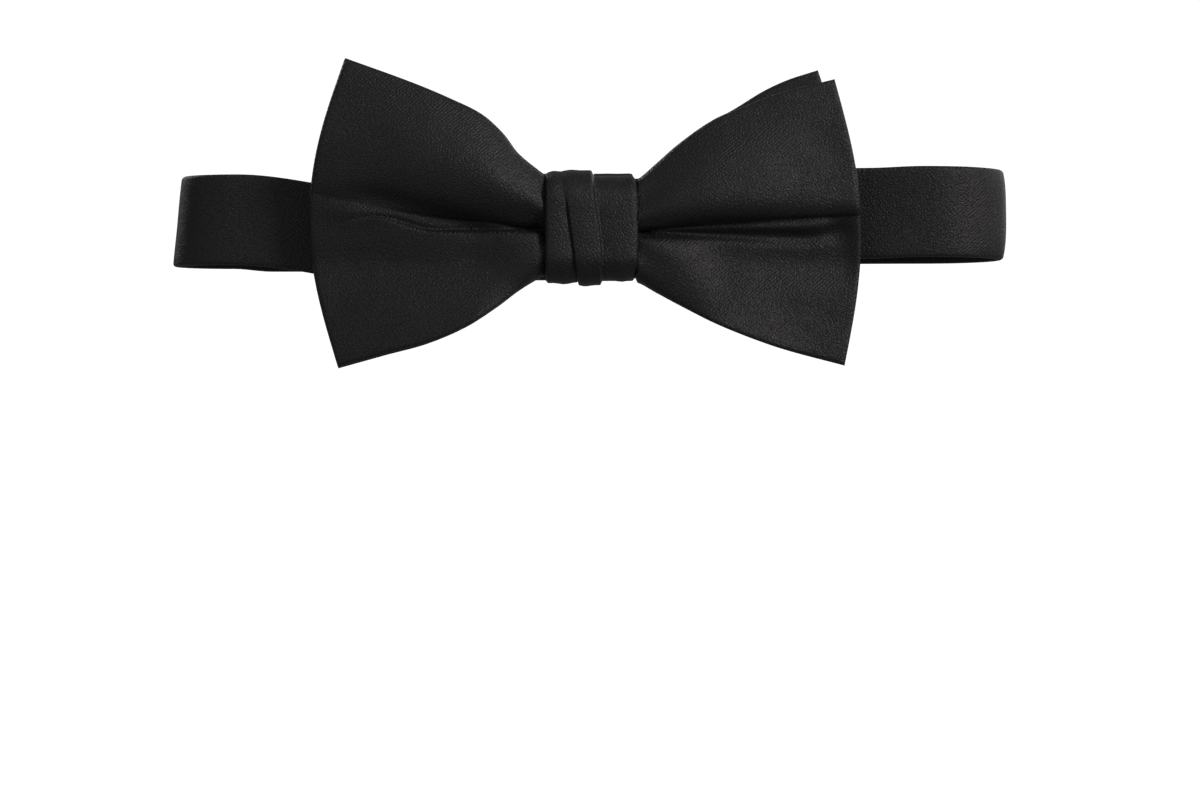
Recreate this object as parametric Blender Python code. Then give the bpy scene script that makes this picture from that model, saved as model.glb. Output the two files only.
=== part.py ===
"""Pre-tied satin bow tie with an adjustable, hooked neckband.

Metres, +Z up. The bow faces -Y, the neck is on +Y and +X is the viewer's right.
The origin is the middle of the flat rear face of the knot wrap, where it bears on the collar.
"""
import math

import bmesh
import bpy

# Driving dimensions
GAP = 0.0003
LOOP_HALF_WIDTH = 0.0910
BAND_WIDTH = 0.0198
BAND_THICKNESS = 0.0015
BAND_WALL = 0.0003
BAND_LINING_THICKNESS = 0.0004
FOLD_THICKNESS = 0.0010

SATIN_THICKNESS = 0.0004
INTERLINING_THICKNESS = 0.0005

KNOT_HALF_WIDTH = 0.0101
KNOT_HALF_HEIGHT = 0.0114
KNOT_DEPTH = 0.0144
KNOT_FRONT_RADIUS = 0.0046
KNOT_REAR_RADIUS = 0.0012
KNOT_CROWN = 0.0004
KNOT_BEVEL = 0.0003
WRAP_INNER_RADIUS = 0.0030
WRAP_REAR_THICKNESS = 0.0010
WRAP_FRONT_THICKNESS = 0.0012
PLEAT_RISE = 0.0010
LAP_EDGE_Z = -0.0060
LAP_STEP = 0.0007

WAIST_HALF_WIDTH = 0.0104
WAIST_HALF_HEIGHT = 0.0092
WAIST_LOBE = 0.0032
LOBE_PUFF = 0.0056
BACK_BOW_PUFF = 0.0009
BACK_BOW_MID_Y = -0.00485
FRONT_BOW_MID_Y = -0.00705
FRONT_BOW_OUTER_Y = -0.0088

FRONT_JOIN_X = -0.0120
KNOT_EXIT_X = 0.0110
LEFT_BEND_LENGTH = 0.0120
RIGHT_BEND_LENGTH = 0.0180
RIGHT_RUN_BULGE = 0.0011
HARDWARE_Z = 0.0009
HARDWARE_HALF_HEIGHT = 0.0116
SLOT_HALF_HEIGHT = 0.0102
REAR_LEFT_Y = 0.01575
REAR_RIGHT_Y = 0.0174
HOOK_Y = 0.0141
HOOK_THICKNESS = 0.0012
HOOK_FOLD_X = -0.0280
HOOK_TIP_BEND_X = -0.01605
HOOK_BEND_RADIUS = 0.00075
HOOK_LIP_LENGTH = 0.0045
HOOK_LIP_ANGLE = math.radians(40.0)
HOOK_TONGUE_HALF_HEIGHT = 0.0070
HOOK_FOLD_RADIUS = 0.001525
HOOK_FOLD_RUN = 0.0060
EYE_Y = 0.0158
EYE_WIRE = 0.0016
EYE_HOOK_BAR_X = -0.0188
EYE_STRAP_BAR_X = -0.0096
EYE_FOLD_REAR_RUN = 0.0096
EYE_FOLD_FRONT_RUN = 0.0090
SLIDER_X = -0.0500
SLIDER_THICKNESS = 0.0010
SLIDER_BAR_Y = 0.0130
SLIDER_SIDE_Y = 0.0173
SLIDER_FOLD_X = SLIDER_X - 0.0005
SLIDER_FOLD_RADIUS = 0.0013
SLIDER_FOLD_REAR_RUN = 0.0085
SLIDER_FOLD_FRONT_RUN = 0.0065
THREAD_RADIUS = 0.0002
WAIST_THREAD_RADIUS = 0.00025
TACK_HEIGHT = 0.0128
TACK_WIDTH = 0.0014
TACK_STITCHES = 20

# Worked-out positions
FRONT_RUN_Y = -(WRAP_REAR_THICKNESS + GAP + BAND_THICKNESS / 2)
RIGHT_FRONT_Y = FRONT_RUN_Y - RIGHT_RUN_BULGE
LEFT_BEND_X = -(LOOP_HALF_WIDTH - LEFT_BEND_LENGTH - BAND_THICKNESS / 2)
RIGHT_BEND_X = LOOP_HALF_WIDTH - RIGHT_BEND_LENGTH - BAND_THICKNESS / 2
EYE_FOLD_RADIUS = REAR_RIGHT_Y - EYE_Y

# Middle heights along the strap: (x, y, z) where its slope changes
LEFT_FRONT_RUN = [(LEFT_BEND_X + GAP, FRONT_RUN_Y, 0.0016), (-0.0580, FRONT_RUN_Y, -0.0004),
                  (FRONT_JOIN_X - GAP, FRONT_RUN_Y, 0.0)]
LEFT_REAR_RUN = [(LEFT_BEND_X + GAP, REAR_LEFT_Y, 0.0020), (-0.0705, REAR_LEFT_Y, 0.0012),
                 (-0.0570, REAR_LEFT_Y, HARDWARE_Z),
                 (HOOK_FOLD_X - HOOK_FOLD_RUN - GAP, REAR_LEFT_Y, HARDWARE_Z)]
RIGHT_FRONT_RUN = [(FRONT_JOIN_X, FRONT_RUN_Y, 0.0), (KNOT_EXIT_X, FRONT_RUN_Y, 0.0),
                   (0.0600, FRONT_RUN_Y - 0.0002, 0.0034), (RIGHT_BEND_X - GAP, RIGHT_FRONT_Y, 0.0038)]
RIGHT_REAR_RUN = [(EYE_STRAP_BAR_X + EYE_FOLD_REAR_RUN + GAP, REAR_RIGHT_Y, HARDWARE_Z),
                  (0.0200, REAR_RIGHT_Y, 0.0024), (RIGHT_BEND_X - GAP, REAR_RIGHT_Y, 0.0027)]

# Each wing: its top and bottom edges from the knot to the tip, the swell of its outer edge, where the crease
# between its lobes runs at the knot and at the outer edge, how far it stands forward in its middle, how much
# its lobes flatten outwards, and how far and how soon its lower lobe opens
LEFT_WING = {
    "side": -1,
    "crease": (0.45, 0.565),
    "swell": 0.0070,
    "belly": 0.0018,
    "fade": 0.40,
    "tilt": 1.0,
    "open_by": 0.35,
    "top": [(0.0112, 0.0123), (0.0160, 0.0163), (0.0190, 0.0203), (0.0236, 0.0245),
            (0.0303, 0.0279), (0.0388, 0.0315), (0.0535, 0.0369)],
    "bottom": [(0.0112, -0.0108), (0.0157, -0.0135), (0.0205, -0.0171), (0.0272, -0.0214),
               (0.0357, -0.0250), (0.0448, -0.0274), (0.0550, -0.0302)],
}
RIGHT_WING = {
    "side": 1,
    "crease": (0.49, 0.525),
    "swell": 0.0047,
    "belly": 0.0008,
    "fade": 0.45,
    "tilt": 0.9,
    "open_by": 0.55,
    "top": [(0.0112, 0.0115), (0.0139, 0.0139), (0.0188, 0.0182), (0.0261, 0.0233),
            (0.0331, 0.0264), (0.0401, 0.0291), (0.0527, 0.0323)],
    "bottom": [(0.0112, -0.0124), (0.0145, -0.0144), (0.0206, -0.0177), (0.0267, -0.0208),
               (0.0340, -0.0238), (0.0419, -0.0265), (0.0548, -0.0299)],
}
# The rear bow is the same pattern, turned and shrunk a little about the knot
FRONT_BOW_SET = {-1: (0.0, 1.0), 1: (0.0, 1.0)}
BACK_BOW_SET = {-1: (math.radians(0.15), 1.004), 1: (math.radians(3.5), 0.972)}
WING_COLUMNS = [0.0, 0.1, 0.22, 0.35, 0.5, 0.66, 0.82, 0.97, 1.0]
LOBE_ROWS = [0.0, 0.14, 0.32, 0.52, 0.74, 0.95, 1.0]


def clear_scene():
    for old in list(bpy.data.objects):
        bpy.data.objects.remove(old, do_unlink=True)


def make_material(name, colour, roughness, metallic=0.0):
    material = bpy.data.materials.new(name)
    material.use_nodes = True
    shader = material.node_tree.nodes["Principled BSDF"]
    shader.inputs["Base Color"].default_value = (*colour, 1.0)
    shader.inputs["Roughness"].default_value = roughness
    shader.inputs["Metallic"].default_value = metallic
    return material


def lerp(a, b, t):
    return a + (b - a) * t


def smooth(t):
    t = min(max(t, 0.0), 1.0)
    return t * t * (3.0 - 2.0 * t)


def curve_at(points, x):
    """Height at x on a smooth curve through the points, which run in order of x."""
    last = len(points) - 1
    slopes = []
    for i in range(last + 1):
        before = points[max(i - 1, 0)]
        after = points[min(i + 1, last)]
        slopes.append((after[1] - before[1]) / (after[0] - before[0]))
    i = 0
    while i < last - 1 and x > points[i + 1][0]:
        i += 1
    (x0, z0), (x1, z1) = points[i], points[i + 1]
    step = x1 - x0
    t = (x - x0) / step
    return (
        (2 * t**3 - 3 * t**2 + 1) * z0
        + (t**3 - 2 * t**2 + t) * step * slopes[i]
        + (3 * t**2 - 2 * t**3) * z1
        + (t**3 - t**2) * step * slopes[i + 1]
    )


def add_object(name, verts, faces, material, shade_angle=None):
    """A mesh object with its faces turned outwards."""
    mesh = bpy.data.meshes.new(name)
    mesh.from_pydata(verts, [], faces)
    work = bmesh.new()
    work.from_mesh(mesh)
    bmesh.ops.recalc_face_normals(work, faces=work.faces)
    work.to_mesh(mesh)
    work.free()
    if shade_angle is not None:
        mesh.shade_smooth()
        mesh.set_sharp_from_angle(angle=shade_angle)
    mesh.materials.append(material)
    obj = bpy.data.objects.new(name, mesh)
    bpy.context.collection.objects.link(obj)
    return obj


def add_bevel(obj, width):
    bevel = obj.modifiers.new("Rounded edges", "BEVEL")
    bevel.width = width
    bevel.segments = 1
    bevel.limit_method = "ANGLE"
    bevel.angle_limit = math.radians(40.0)
    return obj


def rest_on(obj, pivot):
    """Hangs an object from a named empty on its joint's axis."""
    obj.parent = pivot
    obj.matrix_parent_inverse = pivot.matrix_world.inverted()


def add_pivot(name, location):
    pivot = bpy.data.objects.new(name, None)
    pivot.location = location
    bpy.context.collection.objects.link(pivot)
    bpy.context.view_layer.update()
    return pivot


# Bow panels

def outline_point(wing, u, v):
    """A point of the flat wing: u runs from knot to outer edge, v from bottom to top."""
    top, bottom = wing["top"], wing["bottom"]
    top_x = lerp(top[0][0], top[-1][0], u)
    bottom_x = lerp(bottom[0][0], bottom[-1][0], u)
    x = lerp(bottom_x, top_x, v) + wing["swell"] * u**2 * math.sin(math.pi * v)
    z = lerp(curve_at(bottom, bottom_x), curve_at(top, top_x), v)
    return wing["side"] * x, z


def bow_crease(wing, u):
    near, far = wing["crease"]
    return lerp(near, far, u**1.3)


def front_bow_y(wing, u, v):
    """The front bow: a rounded upper lobe, and a lower one whose edge stands forward."""
    crease = bow_crease(wing, u)
    base = lerp(FRONT_BOW_MID_Y, FRONT_BOW_OUTER_Y, smooth(u / 0.5))
    base -= wing["belly"] * math.sin(math.pi * u**0.75)
    puff = lerp(WAIST_LOBE, LOBE_PUFF, smooth(u / 0.35)) * (1.0 - wing["fade"] * smooth((u - 0.4) / 0.6))
    if v >= crease:
        row = (v - crease) / (1.0 - crease)
        return base - puff * math.sin(math.pi * row**0.80)
    row = (crease - v) / crease
    round_lobe = math.sin(math.pi * row**0.9)
    open_lobe = row**2.2
    return base - 0.85 * puff * lerp(round_lobe, open_lobe, wing["tilt"] * smooth(u / wing["open_by"]))


def back_bow_y(wing, u, v):
    """The back bow lies nearly flat against the band."""
    crease = bow_crease(wing, u)
    row = (v - crease) / (1.0 - crease) if v >= crease else (crease - v) / crease
    return BACK_BOW_MID_Y - BACK_BOW_PUFF * smooth(u / 0.3) * math.sin(math.pi * row)


def wing_rows(wing, u):
    crease = bow_crease(wing, u)
    lower = [crease * (1.0 - row) for row in reversed(LOBE_ROWS)]
    upper = [crease + (1.0 - crease) * row for row in LOBE_ROWS[1:]]
    return lower + upper


def wing_column(wing, u, bow_set, depth):
    turn, scale = bow_set[wing["side"]]
    turn *= smooth((u - 0.3) / 0.6)
    scale = lerp(1.0, scale, smooth(u / 0.2))
    column = []
    for v in wing_rows(wing, u):
        x, z = outline_point(wing, u, v)
        turned_x = scale * (x * math.cos(turn) - z * math.sin(turn))
        turned_z = scale * (x * math.sin(turn) + z * math.cos(turn))
        column.append((turned_x, depth(wing, u, v), turned_z))
    return column


def waist_column(wing, depth):
    x = wing["side"] * WAIST_HALF_WIDTH
    column = []
    for v in wing_rows(wing, 0.0):
        column.append((x, depth(wing, 0.0, v), lerp(-WAIST_HALF_HEIGHT, WAIST_HALF_HEIGHT, v)))
    return column


def bow_grid(bow_set, depth):
    """Columns of mid-surface points from the left wing's outer edge to the right wing's."""
    left = [wing_column(LEFT_WING, u, bow_set, depth) for u in reversed(WING_COLUMNS)]
    right = [wing_column(RIGHT_WING, u, bow_set, depth) for u in WING_COLUMNS]
    return left + [waist_column(LEFT_WING, depth), waist_column(RIGHT_WING, depth)] + right


def trimmed(grid):
    """The grid without its border cells."""
    return [column[1:-1] for column in grid[1:-1]]


def make_panel(name, grid, offset, thickness, material):
    """A sheet of one thickness, its middle at an offset in Y from the grid."""
    columns = len(grid)
    rows = len(grid[0])
    count = columns * rows
    verts = []
    for shift in (offset - thickness / 2, offset + thickness / 2):
        for column in grid:
            verts += [(x, y + shift, z) for x, y, z in column]
    faces = []
    for i in range(columns - 1):
        for j in range(rows - 1):
            a = i * rows + j
            for corners in ((a, a + rows, a + rows + 1), (a, a + rows + 1, a + 1)):
                faces.append(corners)
                faces.append(tuple(count + k for k in reversed(corners)))
    border = [i * rows for i in range(columns)]
    border += [(columns - 1) * rows + j for j in range(1, rows)]
    border += [i * rows + rows - 1 for i in range(columns - 2, -1, -1)]
    border += [j for j in range(rows - 2, 0, -1)]
    for a, b in zip(border, border[1:] + border[:1]):
        faces.append((a, b, count + b, count + a))
    return add_object(name, verts, faces, material, math.radians(50.0))


def make_bow(prefix, bow_set, depth, satin, interlining):
    grid = bow_grid(bow_set, depth)
    step = (SATIN_THICKNESS + INTERLINING_THICKNESS) / 2 + GAP
    make_panel(prefix + "_face", grid, -step, SATIN_THICKNESS, satin)
    make_panel(prefix + "_interlining", trimmed(grid), 0.0, INTERLINING_THICKNESS, interlining)
    make_panel(prefix + "_back", grid, step, SATIN_THICKNESS, satin)


# Knot

def knot_section(half_height, rear_y, front_y, rear_radius, front_radius, crown):
    """A closed loop of (y, z): flat rear face, round corners and a crowned front face."""
    corners = [
        (rear_y - rear_radius, half_height - rear_radius, rear_radius, 0.0),
        (front_y + front_radius, half_height - front_radius, front_radius, 90.0),
        (front_y + front_radius, -half_height + front_radius, front_radius, 180.0),
        (rear_y - rear_radius, -half_height + rear_radius, rear_radius, 270.0),
    ]
    loop = []
    for y, z, radius, start in corners:
        for step in range(4):
            angle = math.radians(start + 30.0 * step)
            loop.append((y + radius * math.cos(angle), z + radius * math.sin(angle)))
        if start == 90.0:
            loop += [(front_y - crown, half_height * share) for share in (0.35, 0.0, -0.35)]
        if start == 270.0:
            loop += [(rear_y, LAP_EDGE_Z - 0.0001), (rear_y, LAP_EDGE_Z + 0.0001), (rear_y, 0.0)]
    return loop


def pleat_edges(z):
    """Left and right edges of the raised middle pleat at a height."""
    share = (z + KNOT_HALF_HEIGHT) / (2 * KNOT_HALF_HEIGHT)
    return lerp(-0.0031, -0.0064, share), lerp(0.0022, 0.0003, smooth((z + 0.006) / 0.018))


def knot_column(outer, side, raised):
    """The outer section at one station: side is the end or pleat edge it follows, raised its upper line."""
    middle_y = -KNOT_DEPTH / 2
    column = []
    for y, z in outer:
        left, right = pleat_edges(z)
        if abs(side) == 2:
            x = math.copysign(KNOT_HALF_WIDTH - KNOT_BEVEL * raised, side)
            grow = -KNOT_BEVEL * (1 - raised)
        else:
            x = left + KNOT_BEVEL * raised if side < 0 else right - KNOT_BEVEL * raised
            grow = PLEAT_RISE * raised * smooth((middle_y + 0.004 - y) / 0.006)
        sink = LAP_STEP if y > -0.0005 and z < LAP_EDGE_Z else 0.0
        if y > -0.0001:
            column.append((x, y - sink, z))
        else:
            length = math.hypot(y - middle_y, z)
            column.append((x, y + grow * (y - middle_y) / length - sink, z + grow * z / length))
    return column


def make_knot_wrap(material):
    outer = knot_section(KNOT_HALF_HEIGHT, 0.0, -KNOT_DEPTH, KNOT_REAR_RADIUS, KNOT_FRONT_RADIUS,
                         KNOT_CROWN)
    inner = knot_section(KNOT_HALF_HEIGHT - WRAP_REAR_THICKNESS, -WRAP_REAR_THICKNESS,
                         -KNOT_DEPTH + WRAP_FRONT_THICKNESS, GAP, WRAP_INNER_RADIUS, 0.0)
    stations = [(-2, 0), (-2, 1), (-1, 0), (-1, 1), (1, 1), (1, 0), (2, 1), (2, 0)]
    rings = [[(-KNOT_HALF_WIDTH, y, z) for y, z in inner]]
    rings += [knot_column(outer, side, raised) for side, raised in stations]
    rings.append([(KNOT_HALF_WIDTH, y, z) for y, z in inner])
    size = len(outer)
    verts = [point for ring in rings for point in ring]
    faces = []
    for r in range(len(rings)):
        following = (r + 1) % len(rings)
        for j in range(size):
            k = (j + 1) % size
            faces.append((r * size + j, following * size + j, following * size + k, r * size + k))
    return add_object("knot_wrap", verts, faces, material, math.radians(40.0))


def make_box(name, low, high, material):
    verts = [(x, y, z) for x in (low[0], high[0]) for y in (low[1], high[1]) for z in (low[2], high[2])]
    faces = [(0, 1, 3, 2), (4, 6, 7, 5), (0, 4, 5, 1), (2, 3, 7, 6), (0, 2, 6, 4), (1, 5, 7, 3)]
    return add_object(name, verts, faces, material)


# Threads

def make_thread(name, points, radius, material):
    """A thread along the points, with square ends."""
    curve = bpy.data.curves.new(name, "CURVE")
    curve.dimensions = "3D"
    curve.bevel_depth = radius
    curve.bevel_resolution = 0
    curve.use_fill_caps = True
    spline = curve.splines.new("POLY")
    spline.points.add(len(points) - 1)
    for point, place in zip(spline.points, points):
        point.co = (*place, 1.0)
    curve.materials.append(material)
    obj = bpy.data.objects.new(name, curve)
    bpy.context.collection.objects.link(obj)
    return obj


def zigzag(start, along, across, turns):
    """Points of a zigzag stitch: along is one step, across is the swing of each stitch."""
    points = []
    for i in range(turns + 1):
        swing = 0.5 if i % 2 else -0.5
        points.append(tuple(s + a * i + c * swing for s, a, c in zip(start, along, across)))
    return points


def waist_thread_points(turns):
    """Rounded square turns around the pinched waist of both bows."""
    half_height = WAIST_HALF_HEIGHT + 0.00065
    rear_y = BACK_BOW_MID_Y + 0.0015
    front_y = -0.01175
    corner = 0.0008
    middles = [(rear_y, half_height, 0.0), (front_y, half_height, 90.0),
               (front_y, -half_height, 180.0), (rear_y, -half_height, 270.0)]
    points = []
    steps = turns * len(middles) * 3
    for i in range(steps):
        y, z, start = middles[(i // 3) % 4]
        angle = math.radians(start + 45.0 * (i % 3))
        inward_y = y - corner if y == rear_y else y + corner
        inward_z = z - corner if z > 0 else z + corner
        x = lerp(-0.0015, 0.0015, i / (steps - 1))
        points.append((x, inward_y + corner * math.cos(angle), inward_z + corner * math.sin(angle)))
    return points


# Band

def offset_path(path, distance):
    """The path moved sideways in plan: each point is (x, y, middle height)."""
    moved = []
    last = len(path) - 1
    for i, (x, y, z) in enumerate(path):
        before = path[max(i - 1, 0)]
        after = path[min(i + 1, last)]
        dx, dy = after[0] - before[0], after[1] - before[1]
        length = math.hypot(dx, dy)
        if 0 < i < last:
            ax, ay = x - before[0], y - before[1]
            turn = (dx * ax + dy * ay) / (length * math.hypot(ax, ay))
        else:
            turn = 1.0
        moved.append((x - dy / length * distance / turn, y + dx / length * distance / turn, z))
    return moved


def make_strip(name, path, width, thickness, material):
    """A solid flat strap along a path, standing on edge."""
    sides = [offset_path(path, -thickness / 2), offset_path(path, thickness / 2)]
    rings = []
    for near, far in zip(*sides):
        rings.append([(near[0], near[1], near[2] - width / 2), (near[0], near[1], near[2] + width / 2),
                      (far[0], far[1], far[2] + width / 2), (far[0], far[1], far[2] - width / 2)])
    verts = [point for ring in rings for point in ring]
    faces = [(0, 1, 2, 3), tuple(len(verts) - 4 + k for k in (3, 2, 1, 0))]
    for r in range(len(rings) - 1):
        for j in range(4):
            k = (j + 1) % 4
            faces.append((4 * r + j, 4 * r + k, 4 * r + 4 + k, 4 * r + 4 + j))
    return add_object(name, verts, faces, material, math.radians(40.0))


def make_sleeve(name, path, width, thickness, wall, material):
    """A flat satin sleeve along a path, open at both ends."""
    rings = []
    for inset in (0.0, wall):
        near_side = offset_path(path, -thickness / 2 + inset)
        far_side = offset_path(path, thickness / 2 - inset)
        half = width / 2 - inset
        for near, far in zip(near_side, far_side):
            rings.append([(near[0], near[1], near[2] - half), (near[0], near[1], near[2] + half),
                          (far[0], far[1], far[2] + half), (far[0], far[1], far[2] - half)])
    count = len(path)
    order = list(range(count)) + list(range(2 * count - 1, count - 1, -1))
    verts = [point for r in order for point in rings[r]]
    faces = []
    for r in range(len(order)):
        following = (r + 1) % len(order)
        for j in range(4):
            k = (j + 1) % 4
            faces.append((4 * r + j, 4 * r + k, 4 * following + k, 4 * following + j))
    return add_object(name, verts, faces, material, math.radians(40.0))


def make_lined_band(name, path, satin, interlining):
    """A length of neckband: the satin sleeve and the interlining strip inside it."""
    make_sleeve(name, path, BAND_WIDTH, BAND_THICKNESS, BAND_WALL, satin)
    strip_width = BAND_WIDTH - 2 * (BAND_WALL + GAP)
    make_strip(name + "_interlining", path, strip_width, BAND_LINING_THICKNESS, interlining)


def run_path(places, pieces):
    """Points through the places, pieces to each stretch, the middle height easing from one to the next."""
    path = [places[0]]
    for start, end in zip(places, places[1:]):
        for i in range(1, pieces + 1):
            share = i / pieces
            path.append((lerp(start[0], end[0], share), lerp(start[1], end[1], share),
                         lerp(start[2], end[2], smooth(share))))
    return path


def bend_path(front, rear, length, pieces=12):
    """A half ellipse round an end of the loop, from the front run's end back to the rear run's."""
    side = 1 if front[0] > 0 else -1
    radius = (rear[1] - front[1]) / 2
    path = []
    for i in range(pieces + 1):
        share = i / pieces
        angle = math.pi * (share - 0.5)
        path.append((front[0] + side * length * math.cos(angle),
                     front[1] + radius + radius * math.sin(angle),
                     lerp(front[2], rear[2], smooth(share))))
    return path


def fold_path(centre, radius, side, first_run, last_run, pieces=6):
    """A strap folded back on itself: out on the rear side, round, and back on the front side."""
    path = [(centre[0] - side * first_run, centre[1] + radius, HARDWARE_Z)]
    for i in range(pieces + 1):
        angle = math.pi / 2 - math.pi * i / pieces
        path.append((centre[0] + side * radius * math.cos(angle),
                     centre[1] + radius * math.sin(angle), HARDWARE_Z))
    path.append((centre[0] - side * last_run, centre[1] - radius, HARDWARE_Z))
    return path


# Hardware

def make_cut_plate(name, path, heights, filled, thickness, material):
    """A formed plate: cells between path points and heights, of which only some are filled."""
    sides = [offset_path(path, -thickness / 2), offset_path(path, thickness / 2)]
    verts = [(x, y, z + height) for side in sides for x, y, z in side for height in heights]
    rows = len(heights)
    count = len(path) * rows
    cells = {(i, j) for i in range(len(path) - 1) for j in range(rows - 1) if filled(i, j)}
    faces = []
    for i, j in sorted(cells):
        corners = [i * rows + j, (i + 1) * rows + j, (i + 1) * rows + j + 1, i * rows + j + 1]
        faces.append(tuple(corners))
        faces.append(tuple(count + k for k in reversed(corners)))
        beside = [(i, j - 1), (i + 1, j), (i, j + 1), (i - 1, j)]
        for side, neighbour in enumerate(beside):
            if neighbour not in cells:
                a, b = corners[side], corners[(side + 1) % 4]
                faces.append((a, b, count + b, count + a))
    used = sorted({k for face in faces for k in face})
    place = {k: n for n, k in enumerate(used)}
    faces = [tuple(place[k] for k in face) for face in faces]
    return add_object(name, [verts[k] for k in used], faces, material, math.radians(35.0))


def make_hook(material):
    """A strap bar, a slot, and a tongue whose end turns back into a sloping lip."""
    xs = [HOOK_FOLD_X - 0.0008, HOOK_FOLD_X + 0.0002, HOOK_FOLD_X + 0.0027, HOOK_FOLD_X + 0.0045]
    path = [(x, HOOK_Y, HARDWARE_Z) for x in xs]
    turn = math.pi - HOOK_LIP_ANGLE
    centre_y = HOOK_Y + HOOK_BEND_RADIUS
    for i in range(6):
        angle = -math.pi / 2 + turn * i / 5
        path.append((HOOK_TIP_BEND_X + HOOK_BEND_RADIUS * math.cos(angle),
                     centre_y + HOOK_BEND_RADIUS * math.sin(angle), HARDWARE_Z))
    end_x, end_y, _ = path[-1]
    path.append((end_x - HOOK_LIP_LENGTH * math.cos(HOOK_LIP_ANGLE),
                 end_y + HOOK_LIP_LENGTH * math.sin(HOOK_LIP_ANGLE), HARDWARE_Z))
    heights = [-HARDWARE_HALF_HEIGHT, -SLOT_HALF_HEIGHT, -HOOK_TONGUE_HALF_HEIGHT,
               HOOK_TONGUE_HALF_HEIGHT, SLOT_HALF_HEIGHT, HARDWARE_HALF_HEIGHT]

    def filled(i, j):
        if i in (0, 2):
            return True
        if i == 1:
            return j in (0, 4)
        return j == 2

    return add_bevel(make_cut_plate("hook", path, heights, filled, HOOK_THICKNESS, material), 0.0002)


def make_eye(material):
    """A rectangular ring: one bar for the hook and one for the strap."""
    half = EYE_WIRE / 2
    xs = [EYE_HOOK_BAR_X - half, EYE_HOOK_BAR_X + half, EYE_STRAP_BAR_X - half, EYE_STRAP_BAR_X + half]
    path = [(x, EYE_Y, HARDWARE_Z) for x in xs]
    inner = SLOT_HALF_HEIGHT
    heights = [-inner - EYE_WIRE, -inner, inner, inner + EYE_WIRE]

    def filled(i, j):
        return not (i == 1 and j == 1)

    return add_bevel(make_cut_plate("eye_ring", path, heights, filled, EYE_WIRE, material), 0.0004)


def make_slider(material):
    """A three-bar slider whose side bars lie behind the strap and middle bar in front of it."""
    steps = [(-0.0056, SLIDER_SIDE_Y), (-0.0042, SLIDER_SIDE_Y), (-0.0008, SLIDER_BAR_Y),
             (0.0008, SLIDER_BAR_Y), (0.0042, SLIDER_SIDE_Y), (0.0056, SLIDER_SIDE_Y)]
    path = [(SLIDER_X + x, y, HARDWARE_Z) for x, y in steps]
    heights = [-HARDWARE_HALF_HEIGHT, -SLOT_HALF_HEIGHT, SLOT_HALF_HEIGHT, HARDWARE_HALF_HEIGHT]

    def filled(i, j):
        return j != 1 or i in (0, 2, 4)

    plate = make_cut_plate("slider", path, heights, filled, SLIDER_THICKNESS, material)
    return add_bevel(plate, 0.0002)


def make_knot(knot_satin, interlining, thread):
    make_knot_wrap(knot_satin)
    lining_front = -KNOT_DEPTH + WRAP_FRONT_THICKNESS + GAP
    make_box("knot_interlining", (-0.0095, lining_front, -0.0078), (0.0095, lining_front + 0.0006, 0.0078),
             interlining)
    seam_start = (-0.0088, -0.00035, LAP_EDGE_Z - 0.0009)
    make_thread("knot_seam_stitches", zigzag(seam_start, (0.0011, 0, 0), (0, 0, 0.0010), 16),
                THREAD_RADIUS, thread)


def make_neckband(satin, interlining):
    """The two front runs, the two bends and the two rear runs."""
    make_lined_band("neckband_front_left", run_path(LEFT_FRONT_RUN, 3), satin, interlining)
    make_lined_band("neckband_front_right", run_path(RIGHT_FRONT_RUN, 3), satin, interlining)
    make_lined_band("neckband_rear_left", run_path(LEFT_REAR_RUN, 2), satin, interlining)
    make_lined_band("neckband_rear_right", run_path(RIGHT_REAR_RUN, 3), satin, interlining)
    left_front, left_rear = LEFT_FRONT_RUN[0], LEFT_REAR_RUN[0]
    make_lined_band("neckband_left_bend",
                    bend_path((LEFT_BEND_X, *left_front[1:]), (LEFT_BEND_X, *left_rear[1:]),
                              LEFT_BEND_LENGTH), satin, interlining)
    right_front, right_rear = RIGHT_FRONT_RUN[-1], RIGHT_REAR_RUN[-1]
    make_lined_band("neckband_right_bend",
                    bend_path((RIGHT_BEND_X, *right_front[1:]), (RIGHT_BEND_X, *right_rear[1:]),
                              RIGHT_BEND_LENGTH), satin, interlining)


def make_strap_folds(satin):
    """The strap where it turns back round the hook, the slider and the eye ring."""
    hook_centre = (HOOK_FOLD_X, REAR_LEFT_Y - HOOK_FOLD_RADIUS)
    make_strip("hook_strap_fold",
               fold_path(hook_centre, HOOK_FOLD_RADIUS, 1, HOOK_FOLD_RUN, HOOK_FOLD_RUN),
               BAND_WIDTH, FOLD_THICKNESS, satin)
    make_strip("slider_strap_fold",
               fold_path((SLIDER_FOLD_X, SLIDER_BAR_Y), SLIDER_FOLD_RADIUS, -1,
                         SLIDER_FOLD_REAR_RUN, SLIDER_FOLD_FRONT_RUN),
               BAND_WIDTH, FOLD_THICKNESS, satin)
    return_start = (SLIDER_FOLD_X + SLIDER_FOLD_FRONT_RUN + GAP, SLIDER_BAR_Y - SLIDER_FOLD_RADIUS, HARDWARE_Z)
    return_end = (HOOK_FOLD_X - HOOK_FOLD_RUN - GAP, REAR_LEFT_Y - 2 * HOOK_FOLD_RADIUS, HARDWARE_Z)
    make_strip("strap_return", [return_start, return_end], BAND_WIDTH, FOLD_THICKNESS, satin)
    make_strip("eye_strap_fold",
               fold_path((EYE_STRAP_BAR_X, EYE_Y), EYE_FOLD_RADIUS, -1, EYE_FOLD_REAR_RUN, EYE_FOLD_FRONT_RUN),
               BAND_WIDTH, FOLD_THICKNESS, satin)


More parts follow.
